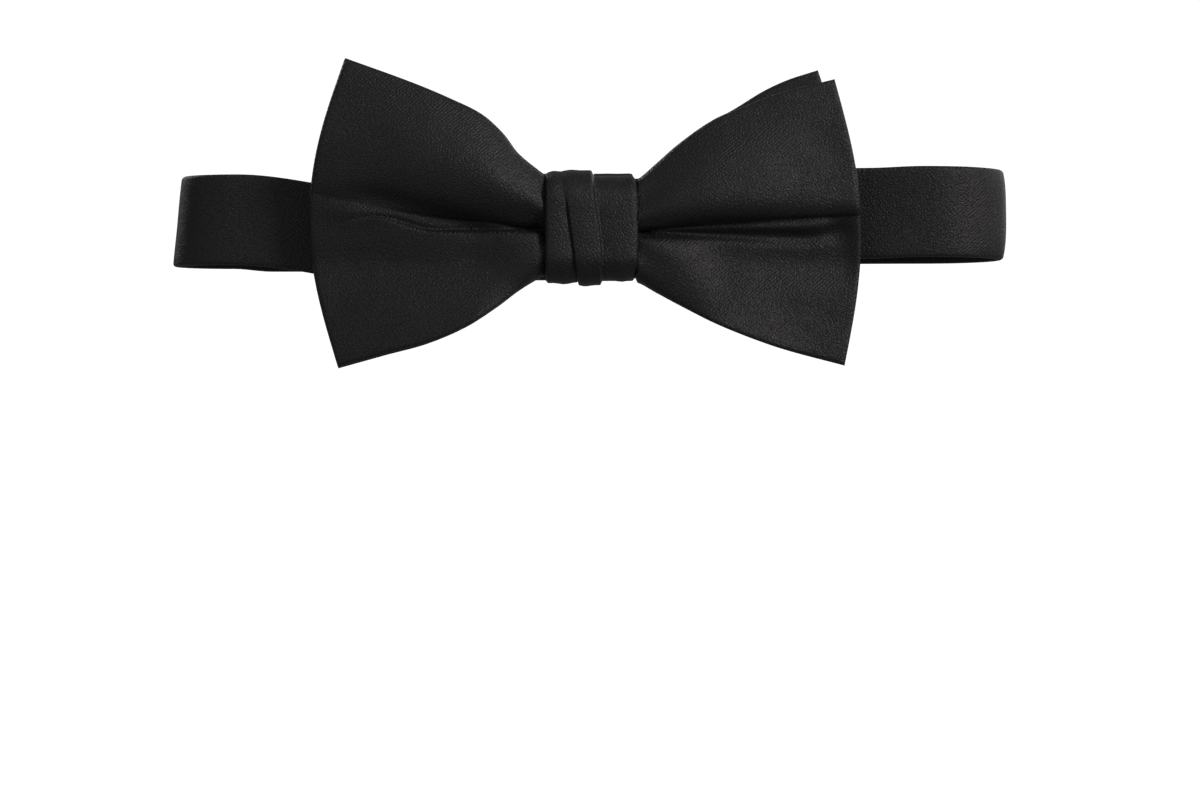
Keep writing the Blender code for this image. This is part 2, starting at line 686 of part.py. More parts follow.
def make_bar_tack(name, x, y, material):
    """A zigzag bar tack up the strap, lying on its surface."""
    start = (x, y, HARDWARE_Z - TACK_HEIGHT / 2)
    points = zigzag(start, (0, 0, TACK_HEIGHT / TACK_STITCHES), (TACK_WIDTH, 0, 0), TACK_STITCHES)
    make_thread(name, points, THREAD_RADIUS, material)


def main():
    clear_scene()
    satin = make_material("Black satin", (0.012, 0.0115, 0.012), 0.42)
    knot_satin = make_material("Knot satin", (0.015, 0.014, 0.0145), 0.40)
    interlining = make_material("Woven interlining", (0.55, 0.53, 0.49), 0.9)
    thread = make_material("Sewing thread", (0.010, 0.010, 0.010), 0.6)
    enamel = make_material("Black enamelled metal", (0.008, 0.008, 0.009), 0.28, 0.3)

    make_bow("front_bow", FRONT_BOW_SET, front_bow_y, satin, interlining)
    make_bow("back_bow", BACK_BOW_SET, back_bow_y, satin, interlining)
    make_thread("waist_thread", waist_thread_points(3), WAIST_THREAD_RADIUS, thread)
    make_knot(knot_satin, interlining, thread)
    make_neckband(satin, interlining)
    make_strap_folds(satin)
    make_hook(enamel)
    make_eye(enamel)
    make_slider(enamel)
    on_surface = FOLD_THICKNESS / 2 + GAP + THREAD_RADIUS
    make_bar_tack("eye_bar_tack", EYE_STRAP_BAR_X + 0.0066, REAR_RIGHT_Y + on_surface, thread)
    make_bar_tack("slider_bar_tack", SLIDER_X + 0.0045, SLIDER_BAR_Y - SLIDER_FOLD_RADIUS - on_surface,
                  thread)

    moving = {
        "eye_end_pivot": ((EYE_STRAP_BAR_X, EYE_Y, HARDWARE_Z),
                          ["eye_ring", "eye_strap_fold", "eye_bar_tack"]),
        "slider_pivot": ((SLIDER_X, REAR_LEFT_Y, HARDWARE_Z),
                         ["slider", "slider_strap_fold", "slider_bar_tack"]),
        "left_bend_pivot": ((LEFT_BEND_X, (FRONT_RUN_Y + REAR_LEFT_Y) / 2, HARDWARE_Z),
                            ["neckband_left_bend", "neckband_left_bend_interlining"]),
    }
    for name, (location, members) in moving.items():
        pivot = add_pivot(name, location)
        for member in members:
            rest_on(bpy.data.objects[member], pivot)


main()
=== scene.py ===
"""Looks of the pre-tied satin bow tie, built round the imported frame.

Metres, in the frame's own axes: +Z up, the bow faces -Y, the neck is on +Y and +X is the viewer's right.
"""
import math

import bmesh
import bpy
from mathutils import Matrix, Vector, noise


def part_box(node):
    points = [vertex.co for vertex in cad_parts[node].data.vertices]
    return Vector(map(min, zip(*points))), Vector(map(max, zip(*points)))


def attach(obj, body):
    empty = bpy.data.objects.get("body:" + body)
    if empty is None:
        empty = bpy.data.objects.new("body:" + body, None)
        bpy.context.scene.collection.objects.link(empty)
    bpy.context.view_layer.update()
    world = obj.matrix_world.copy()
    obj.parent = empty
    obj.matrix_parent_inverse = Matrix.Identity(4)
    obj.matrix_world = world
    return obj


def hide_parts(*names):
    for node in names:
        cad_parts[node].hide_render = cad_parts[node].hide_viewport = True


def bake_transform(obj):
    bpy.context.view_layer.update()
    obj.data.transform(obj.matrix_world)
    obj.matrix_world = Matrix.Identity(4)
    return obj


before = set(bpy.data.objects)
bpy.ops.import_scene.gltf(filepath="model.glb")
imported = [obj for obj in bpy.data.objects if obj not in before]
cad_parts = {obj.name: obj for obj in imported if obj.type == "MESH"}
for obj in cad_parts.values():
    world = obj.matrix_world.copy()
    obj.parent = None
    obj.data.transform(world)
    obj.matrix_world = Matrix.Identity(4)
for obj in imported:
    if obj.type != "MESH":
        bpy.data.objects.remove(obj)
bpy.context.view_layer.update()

# Bodies of the frame
TIE = "tie"
EYE_END = "eye_end"
SLIDER_BODY = "slider"

# Sizes shared with the CAD model
GAP = 0.0003
BAND_WIDTH = 0.0198
BAND_THICKNESS = 0.0015
FOLD_THICKNESS = 0.0010
LOOP_HALF_WIDTH = 0.0910
FRONT_JOIN_X = -0.0120
KNOT_EXIT_X = 0.0110
KNOT_HALF_WIDTH = 0.0101
KNOT_HALF_HEIGHT = 0.0114
KNOT_DEPTH = 0.0144
KNOT_REAR_RADIUS = 0.0012
WRAP_THICKNESS = 0.0010
WRAP_INNER_RADIUS = 0.0030
WAIST_HALF_HEIGHT = 0.0092
LOBE_PUFF = 0.0056
BACK_BOW_MID_Y = -0.00485
FRONT_BOW_MID_Y = -0.00705
FRONT_BOW_OUTER_Y = -0.0088
HARDWARE_Z = 0.0009
REAR_LEFT_Y = 0.01575
REAR_RIGHT_Y = 0.0174
LEFT_BEND_LENGTH = 0.0120
RIGHT_BEND_LENGTH = 0.0180
RIGHT_RUN_BULGE = 0.0011
HOOK_FOLD_X = -0.0280
HOOK_FOLD_RADIUS = 0.001525
SLIDER_FOLD_X = -0.0505
SLIDER_BAR_Y = 0.0130
SLIDER_FOLD_RADIUS = 0.0013
EYE_BAR_X = -0.0096
EYE_Y = 0.0158

# Sizes that differ from the CAD model's or that only the dressed shapes have
KNOT_FRONT_RADIUS = 0.0054
WAIST_HALF_WIDTH = 0.0088
WAIST_LOBE = 0.0040
ROOT_LOBE = 0.0036
LOWER_LOBE_SHARE = 0.85
FRONT_BOW_ROOT_Y = -0.0092
BACK_BOW_PUFF = 0.0008
BOW_HALF_THICKNESS = 0.00095
BOW_LINING_HALF_THICKNESS = 0.00025
BOW_LINING_INSET = 0.0012
BAND_LINING_THICKNESS = 0.0010
BAND_LINING_INSET = 0.0009

# Worked-out places
FRONT_RUN_Y = -(WRAP_THICKNESS + GAP + BAND_THICKNESS / 2)
LEFT_BEND_X = -(LOOP_HALF_WIDTH - LEFT_BEND_LENGTH - BAND_THICKNESS / 2)
RIGHT_BEND_X = LOOP_HALF_WIDTH - RIGHT_BEND_LENGTH - BAND_THICKNESS / 2
LEFT_BEND_RADIUS = (REAR_LEFT_Y - FRONT_RUN_Y) / 2
RIGHT_BEND_RADIUS = (REAR_RIGHT_Y - FRONT_RUN_Y) / 2
EYE_FOLD_RADIUS = REAR_RIGHT_Y - EYE_Y

# Each wing: where the crease between its two lobes runs, as shares of the wing's height at the knot and at
# the outer edge; the swell of its outer edge; how far its middle stands forward; how near the crease the
# upper lobe is fullest at the same two places (the less, the nearer); how much its lobes flatten outwards;
# how far and how soon its lower lobe opens; and its top and bottom edges from the knot to the tip
LEFT_WING = {
    "side": -1,
    "crease": (0.45, 0.565),
    "swell": 0.0070,
    "belly": 0.0018,
    "round": (0.95, 0.80),
    "fade": 0.55,
    "tilt": 1.0,
    "open_by": 0.35,
    "top": [(0.0099, 0.0114), (0.0112, 0.0123), (0.0160, 0.0163), (0.0190, 0.0203), (0.0236, 0.0245),
            (0.0303, 0.0279), (0.0388, 0.0315), (0.0535, 0.0369)],
    "bottom": [(0.0099, -0.0104), (0.0112, -0.0108), (0.0157, -0.0135), (0.0205, -0.0171), (0.0272, -0.0214),
               (0.0357, -0.0250), (0.0448, -0.0274), (0.0550, -0.0302)],
}
RIGHT_WING = {
    "side": 1,
    "crease": (0.49, 0.525),
    "swell": 0.0047,
    "belly": 0.0008,
    "round": (0.56, 0.46),
    "fade": 0.60,
    "tilt": 0.9,
    "open_by": 0.45,
    "top": [(0.0099, 0.0105), (0.0112, 0.0115), (0.0139, 0.0139), (0.0188, 0.0182), (0.0261, 0.0233),
            (0.0331, 0.0264), (0.0401, 0.0291), (0.0527, 0.0323)],
    "bottom": [(0.0099, -0.0118), (0.0112, -0.0124), (0.0145, -0.0144), (0.0206, -0.0177), (0.0267, -0.0208),
               (0.0340, -0.0238), (0.0419, -0.0265), (0.0548, -0.0299)],
}
FRONT_BOW_SET = {-1: (0.0, 1.0), 1: (0.0, 1.0)}
BACK_BOW_SET = {-1: (math.radians(0.15), 1.004), 1: (math.radians(3.5), 0.972)}


def lerp(a, b, t):
    return a + (b - a) * t


def smooth(t):
    t = min(max(t, 0.0), 1.0)
    return t * t * (3.0 - 2.0 * t)


def hill(x, centre, width):
    return math.exp(-(((x - centre) / width) ** 2))


def curve_at(points, x):
    """Value at x on a smooth curve through the points, which run in order of x."""
    last = len(points) - 1
    slopes = []
    for i in range(last + 1):
        before = points[max(i - 1, 0)]
        after = points[min(i + 1, last)]
        slopes.append((after[1] - before[1]) / (after[0] - before[0]))
    i = 0
    while i < last - 1 and x > points[i + 1][0]:
        i += 1
    (x0, y0), (x1, y1) = points[i], points[i + 1]
    step = x1 - x0
    t = (x - x0) / step
    return (
        (2 * t**3 - 3 * t**2 + 1) * y0
        + (t**3 - 2 * t**2 + t) * step * slopes[i]
        + (3 * t**2 - 2 * t**3) * y1
        + (t**3 - t**2) * step * slopes[i + 1]
    )


# Materials

TWILL_PITCH = 0.00062
CANVAS_PITCH = 0.00045
THREAD_TWIST = 0.00022


class Tree:
    """A short way to write a material's nodes."""

    def __init__(self, material):
        self.tree = material.node_tree
        self.shader = self.tree.nodes["Principled BSDF"]

    def put(self, socket, value):
        if isinstance(value, bpy.types.NodeSocket):
            self.tree.links.new(value, socket)
        else:
            socket.default_value = value

    def add(self, kind, inputs, **settings):
        node = self.tree.nodes.new(kind)
        for name, value in settings.items():
            setattr(node, name, value)
        for key, value in inputs.items():
            self.put(node.inputs[key], value)
        return node

    def maths(self, operation, a, b):
        return self.add("ShaderNodeMath", {0: a, 1: b}, operation=operation).outputs[0]

    def remap(self, value, low, high, to_low, to_high):
        ends = {"Value": value, "From Min": low, "From Max": high, "To Min": to_low, "To Max": to_high}
        return self.add("ShaderNodeMapRange", ends).outputs["Result"]

    def noise(self, vector, scale, detail=2.0, roughness=0.5):
        ends = {"Vector": vector, "Scale": scale, "Detail": detail, "Roughness": roughness}
        return self.add("ShaderNodeTexNoise", ends).outputs["Fac"]

    def waves(self, vector, pitch, distortion=0.0, direction="X"):
        """Lines of a given pitch in metres."""
        ends = {"Vector": vector, "Scale": 2.0 * math.pi / (20.0 * pitch), "Distortion": distortion,
                "Detail": 1.0, "Detail Scale": 2.0}
        node = self.add("ShaderNodeTexWave", ends, wave_type="BANDS", bands_direction=direction)
        return node.outputs["Fac"]

    def turned(self, vector, angle):
        ends = {"Vector": vector, "Angle": angle}
        return self.add("ShaderNodeVectorRotate", ends, rotation_type="Z_AXIS").outputs[0]

    def stretched(self, vector, scale):
        return self.add("ShaderNodeMapping", {"Vector": vector, "Scale": scale}).outputs[0]

    def tint(self, colour, factor):
        """The colour multiplied by a grey factor."""
        grey = self.add("ShaderNodeCombineColor", {0: factor, 1: factor, 2: factor}).outputs[0]
        mix = self.add("ShaderNodeMix", {0: 1.0, 6: (*colour, 1.0), 7: grey},
                       data_type="RGBA", blend_type="MULTIPLY")
        return mix.outputs[2]

    def relief(self, height, strength, depth):
        ends = {"Height": height, "Strength": strength, "Distance": depth}
        self.put(self.shader.inputs["Normal"], self.add("ShaderNodeBump", ends).outputs[0])


def new_material(name, roughness, specular, sheen=0.0, metallic=0.0):
    material = bpy.data.materials.new(name)
    material.use_nodes = True
    shader = material.node_tree.nodes["Principled BSDF"]
    shader.inputs["Roughness"].default_value = roughness
    shader.inputs["Specular IOR Level"].default_value = specular
    shader.inputs["Metallic"].default_value = metallic
    shader.inputs["Sheen Weight"].default_value = sheen
    shader.inputs["Sheen Roughness"].default_value = 0.4
    return material


def satin(name, colour, twill_angle, shine, specular, twill_relief=0.42):
    """Warp-faced satin: fine diagonal lines, long floats across them and a slubbed grain."""
    material = new_material(name, shine, specular, sheen=0.02)
    t = Tree(material)
    t.shader.inputs["Anisotropic"].default_value = 0.2
    cloth = t.add("ShaderNodeUVMap", {}, uv_map="cloth").outputs["UV"]
    along = t.turned(cloth, -twill_angle)
    lines = t.waves(along, TWILL_PITCH, distortion=1.2, direction="Y")
    floats = t.noise(t.stretched(along, (500.0, 3800.0, 1.0)), 1.0, 3.0, 0.6)
    grain = t.noise(along, 2300.0, 1.0, 0.6)
    cloud = t.noise(along, 55.0, 3.0, 0.5)
    tone = t.maths("MULTIPLY", t.remap(grain, 0.35, 0.65, 0.30, 1.70), t.remap(cloud, 0.3, 0.7, 0.92, 1.08))
    tone = t.maths("MULTIPLY", tone, t.remap(lines, 0.0, 1.0, 0.92, 1.08))
    t.put(t.shader.inputs["Base Color"], t.tint(colour, tone))
    t.put(t.shader.inputs["Roughness"], t.remap(floats, 0.3, 0.7, shine - 0.05, shine + 0.07))
    height = t.maths("ADD", t.maths("MULTIPLY", lines, twill_relief), t.maths("MULTIPLY", floats, 0.8))
    t.relief(t.maths("ADD", height, t.maths("MULTIPLY", grain, 2.4)), 1.0, 0.00010)
    return material


def canvas(name, colour):
    """Plain-woven interlining: two sets of crossing threads with slubs."""
    material = new_material(name, 0.9, 0.2, sheen=0.1)
    t = Tree(material)
    cloth = t.add("ShaderNodeUVMap", {}, uv_map="cloth").outputs["UV"]
    warp = t.waves(cloth, CANVAS_PITCH, distortion=0.8, direction="X")
    weft = t.waves(cloth, CANVAS_PITCH, distortion=0.8, direction="Y")
    weave = t.maths("MULTIPLY", warp, weft)
    slubs = t.noise(cloth, 900.0, 3.0, 0.6)
    tone = t.maths("MULTIPLY", t.remap(weave, 0.0, 1.0, 0.75, 1.1), t.remap(slubs, 0.3, 0.7, 0.9, 1.1))
    t.put(t.shader.inputs["Base Color"], t.tint(colour, tone))
    t.put(t.shader.inputs["Roughness"], t.remap(slubs, 0.3, 0.7, 0.85, 0.95))
    t.relief(weave, 0.6, 0.0001)
    return material


def sewing_thread(name, colour):
    """Twisted polyester thread."""
    material = new_material(name, 0.5, 0.3, sheen=0.1)
    t = Tree(material)
    place = t.add("ShaderNodeTexCoord", {}).outputs["Object"]
    twist = t.waves(place, THREAD_TWIST, direction="DIAGONAL")
    fuzz = t.noise(place, 5000.0, 2.0, 0.6)
    t.put(t.shader.inputs["Base Color"], t.tint(colour, t.remap(twist, 0.0, 1.0, 0.7, 1.3)))
    t.put(t.shader.inputs["Roughness"], t.remap(fuzz, 0.3, 0.7, 0.45, 0.62))
    t.relief(twist, 0.5, 0.00004)
    return material


def enamel(name, colour):
    """Black enamel on pressed steel: gloss with faint ripples, dust and rubbed patches."""
    material = new_material(name, 0.22, 0.5, metallic=0.1)
    t = Tree(material)
    t.shader.inputs["Coat Weight"].default_value = 0.6
    t.shader.inputs["Coat Roughness"].default_value = 0.12
    place = t.add("ShaderNodeTexCoord", {}).outputs["Object"]
    ripple = t.noise(place, 700.0, 3.0, 0.5)
    rubbed = t.noise(place, 260.0, 4.0, 0.65)
    scratches = t.noise(t.stretched(place, (300.0, 300.0, 5200.0)), 1.0, 2.0, 0.5)
    t.put(t.shader.inputs["Base Color"], t.tint(colour, t.remap(rubbed, 0.45, 0.75, 0.85, 2.6)))
    wear = t.maths("ADD", t.remap(rubbed, 0.4, 0.75, 0.18, 0.34), t.remap(scratches, 0.55, 0.8, 0.0, 0.12))
    t.put(t.shader.inputs["Roughness"], wear)
    t.relief(t.maths("ADD", ripple, t.maths("MULTIPLY", scratches, 0.3)), 0.35, 0.00008)
    return material


TWILL = math.radians(40.0)
BOW_SATIN = satin("Bow satin", (0.0064, 0.0059, 0.0063), TWILL, 0.49, 0.32)
KNOT_SATIN = satin("Knot satin", (0.0068, 0.0061, 0.0063), math.radians(64.0), 0.48, 0.32, 0.16)
BAND_SATIN = satin("Band satin", (0.0062, 0.0057, 0.0063), TWILL, 0.49, 0.30)
CANVAS = canvas("Interlining canvas", (0.55, 0.53, 0.49))
THREAD = sewing_thread("Black thread", (0.010, 0.010, 0.010))
ENAMEL = enamel("Black enamel", (0.008, 0.008, 0.009))


# Mesh building

def add_mesh(name, verts, faces, uvs, material):
    mesh = bpy.data.meshes.new(name)
    mesh.from_pydata(verts, [], faces)
    layer = mesh.uv_layers.new(name="cloth")
    for loop in mesh.loops:
        layer.data[loop.index].uv = uvs[loop.vertex_index]
    work = bmesh.new()
    work.from_mesh(mesh)
    bmesh.ops.remove_doubles(work, verts=work.verts, dist=1e-6)
    bmesh.ops.recalc_face_normals(work, faces=work.faces)
    work.to_mesh(mesh)
    work.free()
    mesh.shade_smooth()
    mesh.materials.append(material)
    obj = bpy.data.objects.new(name, mesh)
    bpy.context.collection.objects.link(obj)
    return obj


def loft(name, rings, ring_uvs, material):
    """A closed body through rings. Each starts at its lower edge and goes up its front, down its back."""
    size = len(rings[0])
    verts = [point for ring in rings for point in ring]
    uvs = [uv for ring in ring_uvs for uv in ring]
    faces = []
    for r in range(len(rings) - 1):
        for j in range(size):
            k = (j + 1) % size
            faces.append((r * size + j, r * size + k, (r + 1) * size + k, (r + 1) * size + j))
    for start in (0, len(verts) - size):
        for j in range(size // 2):
            corners = (j, j + 1, (size - j - 1) % size, (size - j) % size)
            faces.append(tuple(dict.fromkeys(start + k for k in corners)))
    return add_mesh(name, verts, faces, uvs, material)


def edge_steps(length, radius, spacing):
    """Distances along a length, close together within a radius of both ends."""
    near = [radius * (1.0 - math.cos(math.pi / 2 * i / 4)) for i in range(5)]
    inner = length - 2 * radius
    count = max(2, round(inner / spacing))
    middle = [radius + inner * i / count for i in range(1, count)]
    return near + middle + [length - d for d in reversed(near)]


def edge_height(distance, radius):
    """Half thickness of a round-edged sheet at a distance from its edge."""
    if distance >= radius:
        return radius
    return math.sqrt(max(0.0, radius**2 - (radius - distance) ** 2))


# Bows

def outline_point(wing, u, v):
    """A point of the flat wing: u runs from knot to outer edge, v from bottom to top."""
    top, bottom = wing["top"], wing["bottom"]
    top_x = lerp(top[0][0], top[-1][0], u)
    bottom_x = lerp(bottom[0][0], bottom[-1][0], u)
    x = lerp(bottom_x, top_x, v) + wing["swell"] * u**2 * math.sin(math.pi * v)
    z = lerp(curve_at(bottom, bottom_x), curve_at(top, top_x), v)
    return x, z


def pressed_crease(q, depth, lip, reach):
    """A crease with a gentle slope above it and a proud lip below it that falls away over its reach."""
    if q >= 0.0:
        return depth * math.exp(-q / 0.0009) - lip * math.exp(-q / 0.0003)
    return depth * math.exp(q / 0.0002) - lip * math.exp(q / reach)


def left_folds(x, z):
    """Depth added to the left wing: a valley running up and out, and below it a pressed crease."""
    valley_z = lerp(-0.0008, 0.0072, smooth((x - 0.014) / 0.042))
    reach = smooth((x - 0.018) / 0.010) * (1.0 - smooth((x - 0.044) / 0.013))
    valley = 0.0013 * reach * hill(z, valley_z, 0.0023)
    fill = -0.0009 * smooth((x - 0.046) / 0.012) * hill(z, 0.0075, 0.0060)
    line = -0.0005 + 0.0029 * smooth((x - 0.034) / 0.013) - 0.0012 * smooth((x - 0.047) / 0.008)
    fade = smooth((x - 0.0095) / 0.003) * (1.0 - smooth((x - 0.038) / 0.018))
    crease = fade * pressed_crease(z - line, 0.0016, 0.0006, 0.0060)
    swell = -0.0008 * hill(x, 0.048, 0.0080) * hill(z, 0.0036, 0.0022)
    sag = 0.0012 * smooth((x - 0.012) / 0.010) * hill(z, -0.0085, 0.0055)
    return valley + fill + crease + swell + sag


def right_folds(x, z):
    """Depth added to the right wing: a thin roll, a crease under it and a hollow that widens outwards."""
    out = smooth((x - 0.012) / 0.036)
    roll_z = lerp(-0.0002, 0.0003, out) + 0.0012 * smooth((x - 0.046) / 0.010)
    fade = smooth((x - 0.0095) / 0.003) * (1.0 - smooth((x - 0.046) / 0.011))
    roll = -lerp(0.0002, 0.0007, out) * fade * hill(z, roll_z, lerp(0.0007, 0.0012, out))
    crease_z = roll_z - lerp(0.0010, 0.0024, out)
    crease = lerp(0.0012, 0.0015, out) * fade * hill(z, crease_z, lerp(0.0008, 0.0016, out))
    hollow = 0.0019 * out * (1.0 - smooth((x - 0.055) / 0.006)) * hill(z, -0.0078, 0.0046)
    fill = -0.0010 * smooth((x - 0.044) / 0.012) * hill(z, 0.0040, 0.0038)
    edge_hollow = 0.0012 * hill(x, 0.0535, 0.0032) * hill(z, -0.0008, 0.0034)
    lip = -0.0006 * hill(x, 0.0575, 0.0022) * hill(z, 0.0000, 0.0060)
    return roll + crease + hollow + fill + edge_hollow + lip


GATHER_CENTRE_X = 0.004


def gathers(x, z, side):
    """Shallow pleats that fan out from the pinched waist and die away."""
    reach = math.hypot(x - GATHER_CENTRE_X, z)
    angle = math.atan2(z, x - GATHER_CENTRE_X)
    fade = math.exp(-((reach - 0.010) / 0.0085) ** 2)
    return 0.00034 * fade * math.sin(angle * 9.0 + side * 0.9 + 0.6)


def ripple(x, z, size, seed):
    """Smooth unevenness between -1 and 1 with bumps of about the given size."""
    return noise.noise(Vector((x / size, z / size, seed)))


def bow_crease(wing, u):
    """The crease's height at u, as a share of the wing's height there."""
    near, far = wing["crease"]
    return lerp(near, far, u**1.3)


def front_bow_y(wing, u, v):
    """Mid-surface of the front bow: a rounded upper lobe, and a lower one whose edge stands forward."""
    crease = bow_crease(wing, u)
    base = lerp(FRONT_BOW_ROOT_Y, FRONT_BOW_OUTER_Y, smooth(u / 0.5))
    base -= wing["belly"] * math.sin(math.pi * u**0.75)
    puff = lerp(ROOT_LOBE, LOBE_PUFF, smooth(u / 0.35)) * (1.0 - wing["fade"] * smooth((u - 0.4) / 0.6))
    blunt = lerp(0.6, 1.0, smooth(u / 0.3))
    if v >= crease:
        row = (v - crease) / (1.0 - crease)
        lobe = max(0.0, math.sin(math.pi * row ** lerp(*wing["round"], smooth(u / 0.3))))
        return base - puff * lobe**blunt
    row = (crease - v) / crease
    round_lobe = max(0.0, math.sin(math.pi * row**0.9)) ** blunt
    open_lobe = row**2.2
    opened = wing["tilt"] * smooth(u / wing["open_by"])
    return base - LOWER_LOBE_SHARE * puff * lerp(round_lobe, open_lobe, opened)


def front_bow_depth(wing, u, v, x, z):
    folds = left_folds(x, z) if wing["side"] < 0 else right_folds(x, z)
    soft = smooth(u / 0.15)
    waves = 0.00035 * ripple(x, z, 0.017, 3.1 + wing["side"])
    waves += 0.00016 * ripple(x, z, 0.006, 7.7 + wing["side"])
    return front_bow_y(wing, u, v) + folds + gathers(x, z, wing["side"]) + soft * waves


def back_bow_depth(wing, u, v, x, z):
    """The back bow lies nearly flat against the band."""
    crease = bow_crease(wing, u)
    row = (v - crease) / (1.0 - crease) if v >= crease else (crease - v) / crease
    puff = BACK_BOW_PUFF * smooth(u / 0.3)
    waves = 0.00020 * ripple(x, z, 0.015, 12.3 + wing["side"])
    return BACK_BOW_MID_Y - puff * math.sin(math.pi * row) + smooth(u / 0.3) * waves


ROW_COUNT = 90
ROW_CROWDING = 0.7
WING_LENGTH = 0.046
WING_COLUMNS = 64
BUNCHED_LENGTH = 0.0035


def bow_ring(place, height, edge_distance_u, radius, spacing):
    """One ring across a bow. At a share of its height, place gives x, the two layers' middles in y, and z."""
    steps = edge_steps(height, radius, spacing)
    count = len(steps)
    u_share = edge_height(edge_distance_u, radius) / radius
    inner_height = height - 2 * radius
    front = []
    back = []
    uvs = []
    for d in steps:
        across = d
        if radius < d < height - radius:
            share = (d - radius) / inner_height
            crowded = share + ROW_CROWDING / (2 * math.pi) * math.sin(2 * math.pi * share)
            across = radius + inner_height * crowded
        x, front_y, back_y, z = place(across / height)
        half = edge_height(min(across, height - across), radius) * u_share
        front.append((x, front_y - half, z))
        back.append((x, back_y + half, z))
        uvs.append((x, z))
    order = list(range(count - 2, 0, -1))
    return front + [back[j] for j in order], uvs + [uvs[j] for j in order]


def wing_place(wing, u, bow_set, depth, mid_y):
    """The place across the wing at u, turned and scaled as the bow is set, and bunched up at the knot."""
    turn, scale = bow_set[wing["side"]]
    turn *= smooth((u - 0.3) / 0.6)
    scale = lerp(1.0, scale, smooth(u / 0.2))
    bunched = 1.0 - smooth(u * WING_LENGTH / BUNCHED_LENGTH)

    def place(v):
        x, z = outline_point(wing, u, v)
        y = depth(wing, u, v, x, z)
        x *= wing["side"]
        return (scale * (x * math.cos(turn) - z * math.sin(turn)), y, lerp(y, mid_y, bunched),
                scale * (x * math.sin(turn) + z * math.cos(turn)))

    return place


def waist_place(x, mid_y, lobe):
    """Inside the knot the bow is bunched into one thick bundle."""

    def place(v):
        z = lerp(-WAIST_HALF_HEIGHT, WAIST_HALF_HEIGHT, v)
        return x, mid_y - lobe * smooth(min(v, 1.0 - v) / 0.2), mid_y, z

    return place


def bow_rings(bow_set, depth, mid_y, waist_lobe, radius, inset):
    """Places across the bow from the left wing's outer edge, through the knot, to the right wing's.

    inset trims the border. Each place comes with its distance from the outer edge.
    """
    trim = inset / WING_LENGTH
    outer = [WING_LENGTH * (1 - trim) - d for d in
             (radius * (1.0 - math.cos(math.pi / 2 * i / 5)) for i in range(6))]
    inner_end = outer[-1]
    inner = [inner_end * (i / WING_COLUMNS) ** 1.15 for i in range(WING_COLUMNS)]
    distances = inner + list(reversed(outer))
    sides = {}
    for wing in (LEFT_WING, RIGHT_WING):
        rings = []
        for distance in distances:
            u = distance / WING_LENGTH
            place = wing_place(wing, u, bow_set, depth, mid_y)
            rings.append((place, distances[-1] - distance))
        sides[wing["side"]] = rings
    waist = [(waist_place(x, mid_y, waist_lobe), 1.0) for x in
             (lerp(-WAIST_HALF_WIDTH, WAIST_HALF_WIDTH, i / 8) for i in range(9))]
    return list(reversed(sides[-1])) + waist + sides[1]


def make_bow(name, shape, radius, inset, material):
    """A bow or its lining. shape is how it is set, its depth, its middle and how far it puffs in the knot."""
    bow_set, depth, mid_y, waist_lobe = shape
    rings = []
    ring_uvs = []
    for place, edge_distance in bow_rings(bow_set, depth, mid_y, waist_lobe, radius, inset):
        low, high = place(0.0), place(1.0)
        height = math.hypot(high[0] - low[0], high[3] - low[3])
        share = inset / height

        def trimmed(v, place=place, share=share):
            return place(lerp(share, 1.0 - share, v))

        height -= 2 * inset
        spacing = (height - 2 * radius) / ROW_COUNT
        ring, uvs = bow_ring(trimmed, height, edge_distance, radius, spacing)
        rings.append(ring)
        ring_uvs.append(uvs)
    return loft(name, rings, ring_uvs, material)


# Knot

KNOT_STEPS = 144
KNOT_GIRTH = 0.068


def section_point(half_height, rear_y, front_y, rear_radius, front_radius, share):
    """A point (y, z, outward y, outward z) of the knot's round-cornered section, going round it once."""
    straight_top = (rear_y - rear_radius) - (front_y + front_radius)
    front_side = 2 * (half_height - front_radius)
    rear_side = 2 * (half_height - rear_radius)
    quarter = math.pi / 2
    parts = [
        ("line", front_side / 2, (front_y, 0.0), (0.0, 1.0), (-1.0, 0.0)),
        ("arc", front_radius * quarter, (front_y + front_radius, half_height - front_radius),
         front_radius, math.pi),
        ("line", straight_top, (front_y + front_radius, half_height), (1.0, 0.0), (0.0, 1.0)),
        ("arc", rear_radius * quarter, (rear_y - rear_radius, half_height - rear_radius),
         rear_radius, quarter),
        ("line", rear_side, (rear_y, half_height - rear_radius), (0.0, -1.0), (1.0, 0.0)),
        ("arc", rear_radius * quarter, (rear_y - rear_radius, -half_height + rear_radius),
         rear_radius, 0.0),
        ("line", straight_top, (rear_y - rear_radius, -half_height), (-1.0, 0.0), (0.0, -1.0)),
        ("arc", front_radius * quarter, (front_y + front_radius, -half_height + front_radius),
         front_radius, -quarter),
        ("line", front_side / 2, (front_y, -half_height + front_radius), (0.0, 1.0), (-1.0, 0.0)),
    ]
    total = sum(part[1] for part in parts)
    distance = (share % 1.0) * total
    for kind, length, start, heading, facing in parts:
        if distance <= length:
            break
        distance -= length
    if kind == "line":
        return (start[0] + heading[0] * distance, start[1] + heading[1] * distance, *facing)
    angle = facing - distance / heading
    out_y, out_z = math.cos(angle), math.sin(angle)
    return start[0] + heading * out_y, start[1] + heading * out_z, out_y, out_z


def pleat_edges(z):
    """Left and right edges of the raised middle pleat at a height."""
    share = (z + KNOT_HALF_HEIGHT) / (2 * KNOT_HALF_HEIGHT)
    return lerp(-0.0031, -0.0064, share), lerp(0.0022, 0.0003, smooth((z + 0.006) / 0.018))


def knot_side(z):
    """The knot's right edge pulls in a little at its top and bottom."""
    return KNOT_HALF_WIDTH - 0.0006 * abs(z / KNOT_HALF_HEIGHT) ** 3


